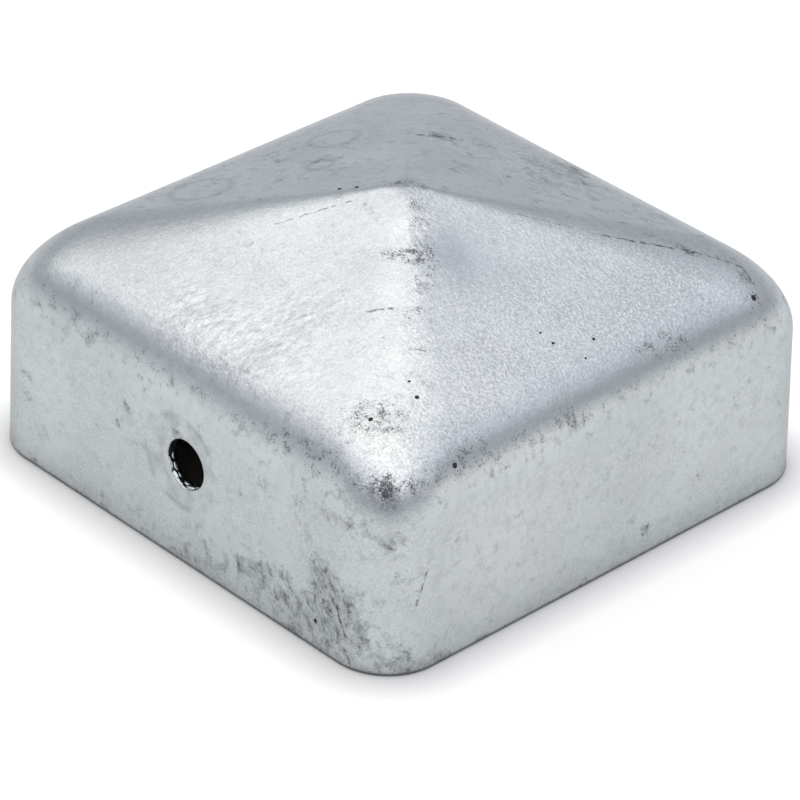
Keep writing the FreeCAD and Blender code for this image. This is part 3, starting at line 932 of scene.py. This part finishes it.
def grit_group():
    """Specks of dross: single ones, and fine powder where the amount is great. They lie in uneven patches."""
    group, given = new_group("dross_grit", {"Position": "Vector", "Amount": "Float"}, {"Mask": "Float"})
    position = given["Position"]
    patches = work(group, "MULTIPLY_ADD", noise_at(group, position, *PATCH_NOISE), 2.4, -0.4)
    amount = work(group, "HELD_MULTIPLY", patches, given["Amount"])
    single = work(group, "MULTIPLY_ADD", work(group, "MINIMUM", amount, 0.5), 0.34, -0.76)
    single = work(group, "ADD", noise_at(group, position, *SPECK_NOISE), single)
    powder = work(group, "MULTIPLY_ADD", amount, 0.3, -0.68)
    powder = work(group, "ADD", noise_at(group, position, *POWDER_NOISE), powder)
    mask = work(group, "HELD_MULTIPLY", work(group, "MAXIMUM", single, powder), 8.0)
    close_group(group, {"Mask": mask})
    return group


def hairline_group():
    """A thin line between two points."""
    inputs = {"Position": "Vector", "From": "Vector", "To": "Vector", "Width": "Float"}
    group, given = new_group("hairline", inputs, {"Mask": "Float"})
    reach = vector_work(group, "SUBTRACT", given["To"], given["From"])
    offset = vector_work(group, "SUBTRACT", given["Position"], given["From"])
    along = vector_work(group, "DOT_PRODUCT", offset, reach)
    along = work(group, "HELD_DIVIDE", along, vector_work(group, "DOT_PRODUCT", reach, reach))
    nearest = step(group, "VectorMath", {0: reach, "Scale": along}, operation="SCALE").outputs["Vector"]
    distance = vector_work(group, "DISTANCE", offset, nearest)
    mask = work(group, "HELD_SUBTRACT", 1.0, work(group, "DIVIDE", distance, given["Width"]))
    close_group(group, {"Mask": mask})
    return group


def use_group(tree, group, inputs):
    """Adds a node group and feeds its inputs."""
    return step(tree, "Group", inputs, node_tree=group).outputs


def painted(tree, name):
    """The number that is kept under this name for each point of the mesh."""
    return step(tree, "Attribute", {}, attribute_name=name).outputs["Fac"]


# The zinc inside and outside

def new_material(name):
    """A material with one metal shader. Returns it, its tree, its shader and its places and normals."""
    material = bpy.data.materials.new(name)
    material.use_nodes = True
    tree = material.node_tree
    shader = tree.nodes["Principled BSDF"]
    shader.inputs["Metallic"].default_value = 1.0
    shader.inputs["Specular Tint"].default_value = GRAZING_TINT
    return material, tree, shader, step(tree, "TexCoord", {}).outputs


def bump(tree, shader, height):
    """Roughens a shader's surface by a height in millimetres."""
    node = step(tree, "Bump", {"Height": height, "Distance": MM})
    feed(tree, shader.inputs["Normal"], node.outputs["Normal"])


def hairlines(tree, position):
    """All the cracks and scratches. They waver, and fade in and out along their length."""
    group = hairline_group()
    place = vector_work(tree, "ADD", position, wandering(tree, position, *HAIRLINE_WAVER))

    lines = 0.0
    for start, end, width in HAIRLINES:
        inputs = {"Position": place, "From": Vector(start) * MM, "To": Vector(end) * MM, "Width": width * MM}
        lines = work(tree, "MAXIMUM", lines, use_group(tree, group, inputs)["Mask"])
    fade = held(tree, noise_at(tree, position, *HAIRLINE_GAPS), 6.0, -2.4)
    return work(tree, "MULTIPLY", lines, fade)


def hole_halo(tree, position):
    """Faint uneven rings round the fixing hole, left by the zinc as it drained."""
    offset = vector_work(tree, "SUBTRACT", position, ((HOLE_X + HALO_SHIFT) * MM, 0, HOLE_HEIGHT * MM))
    distance = vector_work(tree, "LENGTH", vector_work(tree, "MULTIPLY", offset, (1, 0, 1)))
    distance = work(tree, "MULTIPLY_ADD", noise_at(tree, position, *HALO_NOISE), HALO_WAVER * MM, distance)
    on_wall = work(tree, "LESS_THAN", step(tree, "SeparateXYZ", {0: position}).outputs["Y"], HALO_WALL * MM)
    total = 0.0
    for radius, width, amount in HALO:
        beside = work(tree, "ABSOLUTE", work(tree, "SUBTRACT", distance, radius * MM))
        ring = held(tree, beside, -1 / (width * MM), 1.0)
        total = work(tree, "MULTIPLY_ADD", ring, amount, total)
    uneven = held(tree, noise_at(tree, position, *HALO_GAPS), 5.0, -2.0)
    return work(tree, "MULTIPLY", work(tree, "MULTIPLY", total, uneven), on_wall)


def tide_lines(tree, position):
    """Faint closed lines, where drying water has stood."""
    level = work(tree, "SUBTRACT", noise_at(tree, position, *TIDE_NOISE), 0.5)
    line = held(tree, work(tree, "ABSOLUTE", level), -45.0, 1.0)
    return work(tree, "MULTIPLY", line, painted(tree, "tide"))


def creases(tree, position):
    """Long shallow creases in the wrinkled places, in colour only. Returns masks of their painted shaded side
    and their painted lit side.
    """
    run_x, run_y = CREASE_RUN
    along = vector_work(tree, "DOT_PRODUCT", position, (run_x * CREASE_STRETCH, run_y * CREASE_STRETCH, 0))
    across = vector_work(tree, "DOT_PRODUCT", position, (run_y, -run_x, 0))
    place = step(tree, "CombineXYZ", {0: along, 1: across}).outputs["Vector"]
    level = noise_at(tree, place, *CREASE_NOISE)
    amount = painted(tree, "wrinkle")
    sides = []
    for middle in (0.5, 0.55):
        beside = work(tree, "ABSOLUTE", work(tree, "SUBTRACT", level, middle))
        line = held(tree, beside, -24.0, 1.0)
        sides.append(work(tree, "MULTIPLY", line, amount))
    return sides


def lay(tree, colour, tint, mask, share=1.0):
    """A colour with a share of a tint laid over it where the mask says."""
    return blend_colour(tree, work(tree, "HELD_MULTIPLY", mask, share), colour, tint)


def zinc_tones_and_painted_light(tree, position, grain, stain):
    """The colour of the zinc: clouds, mottle and flecks of its own, and painted highlights and painted shade
    on its bright and dull places, partly its own lighter and darker patches, and on its wrinkles and creases.
    """
    clouds = held(tree, grain["Clouds"], 1.4, -0.5)
    colour = blend_colour(tree, clouds, ZINC_PALE, ZINC_DULL)
    # Painted highlights where the amount is above nought and painted shade where it is below, partly lighter
    # and darker patches of the zinc's own.
    painted_light_and_tone = painted(tree, "painted_light_and_tone")
    colour = lay(tree, colour, ZINC_HIGHLIGHT_AND_FLECK, painted_light_and_tone)
    colour = lay(tree, colour, ZINC_SHADE_AND_DEEP_TONE, painted_light_and_tone, -1.0)
    mottle = held(tree, grain["Lumps"], 4.0, -1.8)
    colour = lay(tree, colour, ZINC_DULL, mottle, 0.45)

    # Painted shade in the valleys of the wrinkles and painted highlights on their crests.
    wrinkle = painted(tree, "wrinkle")
    valley_shade = held(tree, grain["Folds"], -6.0, 3.0)
    colour = lay(tree, colour, ZINC_SHADE_AND_DEEP_TONE, work(tree, "MULTIPLY", valley_shade, wrinkle), 0.4)
    crest_highlight = held(tree, grain["Folds"], 6.0, -3.0)
    colour = lay(tree, colour, ZINC_HIGHLIGHT_AND_FLECK, work(tree, "MULTIPLY", crest_highlight, wrinkle), 0.3)
    # Painted highlight and painted shade on the two sides of each crease.
    crease_shade, crease_highlight = creases(tree, position)
    colour = lay(tree, colour, ZINC_HIGHLIGHT_AND_FLECK, crease_highlight, 0.18)
    colour = lay(tree, colour, ZINC_SHADE_AND_DEEP_TONE, crease_shade, 0.45)

    contrast = work(tree, "MULTIPLY_ADD", grain["Clouds"], 1.2, 0.2)
    contrast = work(tree, "MULTIPLY", painted(tree, "grain"), contrast)
    contrast = held(tree, stain["Veil"], 0.7, contrast)
    dark_flecks = held(tree, grain["Strokes"], 4.0, -2.0)
    colour = lay(tree, colour, FLECK_GREY, dark_flecks, contrast)
    bright_flecks = held(tree, grain["Strokes"], -4.0, 2.0)
    return lay(tree, colour, ZINC_HIGHLIGHT_AND_FLECK, bright_flecks, contrast)


def lay_dirt_and_rim_shade(tree, colour, position, stain):
    """A colour with what lies on the zinc: water marks, stains, specks, cracks and scratches, and a painted
    shade along the rim.
    """
    colour = lay(tree, colour, STAIN_GREY, hole_halo(tree, position))
    colour = lay(tree, colour, STAIN_GREY, tide_lines(tree, position), 0.4)
    colour = lay(tree, colour, STAIN_GREY, painted(tree, "ring"), 0.3)
    colour = lay(tree, colour, STAIN_GREY, stain["Veil"], 0.5)
    colour = lay(tree, colour, DROSS_BLACK, stain["Dark smears"], 0.8)
    colour = lay(tree, colour, ZINC_PALE, stain["Light smears"], 0.7)
    # A painted shade along the bottom of the rim, where the cap meets the floor.
    reach, softness = RIM_SHADE
    height = step(tree, "SeparateXYZ", {0: position}).outputs["Z"]
    rim_shade = held(tree, height, -1 / (softness * MM), reach / softness)
    colour = lay(tree, colour, RIM_SHADE_GREY, rim_shade)
    specks = use_group(tree, grit_group(), {"Position": position, "Amount": painted(tree, "dross")})["Mask"]
    colour = lay(tree, colour, DROSS_BLACK, specks, 0.8)
    return lay(tree, colour, DROSS_BLACK, hairlines(tree, position))


def outside_zinc(grain_nodes):
    """The outside: zinc with its grain and wrinkles, painted highlights and painted shade, and the dirt on
    it.
    """
    material, tree, shader, place = new_material("zinc_outside")
    position = place["Object"]
    grain = use_group(tree, grain_nodes, {"Position": position, "Normal": place["Normal"]})
    stain = use_group(tree, stain_group(), {"Position": position, "Amount": painted(tree, "stain")})
    colour = zinc_tones_and_painted_light(tree, position, grain, stain)
    feed(tree, shader.inputs["Base Color"], lay_dirt_and_rim_shade(tree, colour, position, stain))

    roughness = work(tree, "MULTIPLY_ADD", grain["Clouds"], 0.1, 0.22)
    roughness = work(tree, "MULTIPLY_ADD", stain["Veil"], 0.2, roughness)
    feed(tree, shader.inputs["Roughness"], roughness)

    height = work(tree, "MULTIPLY", grain["Strokes"], work(tree, "MULTIPLY", painted(tree, "grain"), 0.07))
    height = work(tree, "MULTIPLY_ADD", grain["Lumps"], 0.035, height)
    folds = work(tree, "MULTIPLY", grain["Folds"], painted(tree, "wrinkle"))
    height = work(tree, "MULTIPLY_ADD", folds, 0.2, height)
    bump(tree, shader, height)
    return material


def dross_black():
    """The lumps of dross: dull and nearly black."""
    material, tree, shader, place = new_material("dross")
    shader.inputs["Metallic"].default_value = 0.0
    shader.inputs["Roughness"].default_value = 0.6
    shader.inputs["Specular IOR Level"].default_value = 0.15
    tone = noise_at(tree, place["Object"], *BROWN_NOISE)
    feed(tree, shader.inputs["Base Color"], blend_colour(tree, tone, DROSS_BLACK, DROSS_BROWN))
    return material


def inside_zinc(grain_nodes):
    """The inside: duller zinc with the same grain."""
    material, tree, shader, place = new_material("zinc_inside")
    grain = use_group(tree, grain_nodes, {"Position": place["Object"], "Normal": place["Normal"]})
    feed(tree, shader.inputs["Base Color"], blend_colour(tree, grain["Clouds"], ZINC_PALE, ZINC_DULL))
    feed(tree, shader.inputs["Roughness"], work(tree, "MULTIPLY_ADD", grain["Clouds"], 0.15, 0.35))
    bump(tree, shader, work(tree, "MULTIPLY", grain["Strokes"], 0.004))
    return material


# Floor, light and camera

def floor_white():
    """White paper that also glows a little to the camera and in the metal, less so close to the cap, where
    the weaker glow is a painted shadow.
    """
    material = bpy.data.materials.new("floor_white")
    material.use_nodes = True
    tree = material.node_tree
    place = vector_work(tree, "ABSOLUTE", step(tree, "TexCoord", {}).outputs["Object"])
    straight = (OUTER_WIDTH / 2 - CORNER_RADIUS) * MM
    past_corner = vector_work(tree, "SUBTRACT", place, (straight, straight, 0))
    past_corner = vector_work(tree, "MAXIMUM", past_corner, (0, 0, 0))
    beside = work(tree, "SUBTRACT", vector_work(tree, "LENGTH", past_corner), CORNER_RADIUS * MM)
    # The glow fades towards the cap's rim: a painted shadow round the cap.
    far = work(tree, "HELD_DIVIDE", beside, PAINTED_SHADOW_REACH * MM)
    glow = blend_number(tree, far, GLOW_IN_PAINTED_SHADOW, GLOW_FAR)
    glow = work(tree, "MULTIPLY", glow, work(tree, "GREATER_THAN", beside, -SHEET * MM))

    ray = step(tree, "LightPath", {}).outputs
    mirrored = work(tree, "MAXIMUM", ray["Is Glossy Ray"], ray["Is Transmission Ray"])
    seen = work(tree, "MULTIPLY_ADD", mirrored, GLOW_MIRRORED, ray["Is Camera Ray"])
    paper = step(tree, "BsdfDiffuse", {"Color": FLOOR_WHITE})
    light = step(tree, "Emission", {"Color": (1, 1, 1, 1), "Strength": work(tree, "MULTIPLY", seen, glow)})
    both = step(tree, "AddShader", {0: paper.outputs["BSDF"], 1: light.outputs["Emission"]})
    feed(tree, tree.nodes["Material Output"].inputs["Surface"], both.outputs["Shader"])
    return material


def build_floor():
    """A plain white floor, with a painted shadow round the cap."""
    mesh = bpy.data.meshes.new("floor")
    corners = [(x * FLOOR_HALF, y * FLOOR_HALF, 0) for x, y in ((-1, -1), (1, -1), (1, 1), (-1, 1))]
    mesh.from_pydata(corners, [], [(0, 1, 2, 3)])
    mesh.materials.append(floor_white())
    floor = add_object("floor", mesh)


def build_world():
    """A soft studio: whitish at the horizon, dim above it and bright overhead."""
    world = bpy.data.worlds.new("studio")
    bpy.context.scene.world = world
    world.use_nodes = True
    tree = world.node_tree
    direction = step(tree, "TexCoord", {}).outputs["Generated"]
    ramp = step(tree, "ValToRGB", {"Fac": step(tree, "SeparateXYZ", {0: direction}).outputs["Z"]})
    stops = ramp.color_ramp.elements
    for _ in STUDIO_TONES[2:]:
        stops.new(0.5)
    for stop, (place, tone) in zip(stops, STUDIO_TONES):
        stop.position = place
        stop.color = tone
    feed(tree, tree.nodes["Background"].inputs["Color"], ramp.outputs["Color"])


def add_lamp(name, place, size, power, colour):
    """A round soft lamp that points at the cap."""
    lamp = bpy.data.lights.new(name, "AREA")
    lamp.shape = "DISK"
    lamp.size = size
    lamp.energy = power
    lamp.color = colour
    holder = add_object(name, lamp)
    holder.location = place
    holder.rotation_euler = (-Vector(place)).to_track_quat("-Z", "Y").to_euler()


def build_camera():
    """The photograph's camera, from its angles round the cap, its roll and its slide across the view."""
    azimuth, elevation, roll = (math.radians(a) for a in (CAMERA_AZIMUTH, CAMERA_ELEVATION, CAMERA_ROLL))
    level_back = Vector((math.sin(azimuth), -math.cos(azimuth), 0))
    back = level_back * math.cos(elevation) + Vector((0, 0, math.sin(elevation)))
    level_right = Vector((math.cos(azimuth), math.sin(azimuth), 0))
    level_up = back.cross(level_right)
    right = level_right * math.cos(roll) + level_up * math.sin(roll)
    up = level_up * math.cos(roll) - level_right * math.sin(roll)
    width = OUTER_WIDTH * MM
    place = Vector((0, 0, CAMERA_TARGET_HEIGHT)) + back * CAMERA_DISTANCE
    place -= right * CAMERA_SLIDE[0] + up * CAMERA_SLIDE[1]

    lens = bpy.data.cameras.new("camera")
    lens.lens = CAMERA_LENS
    camera = add_object("camera", lens)
    turn = Matrix((right, up, back)).transposed().to_4x4()
    camera.matrix_world = Matrix.Translation(place * width) @ turn
    bpy.context.scene.camera = camera


grain_nodes = grain_group()
zinc = outside_zinc(grain_nodes)
cap = build_cap(zinc, inside_zinc(grain_nodes))
build_dross(cap, dross_black())
build_beads(zinc)
build_floor()
build_world()
for lamp in LAMPS:
    add_lamp(*lamp)
build_camera()
bpy.context.scene.view_settings.view_transform = "Standard"
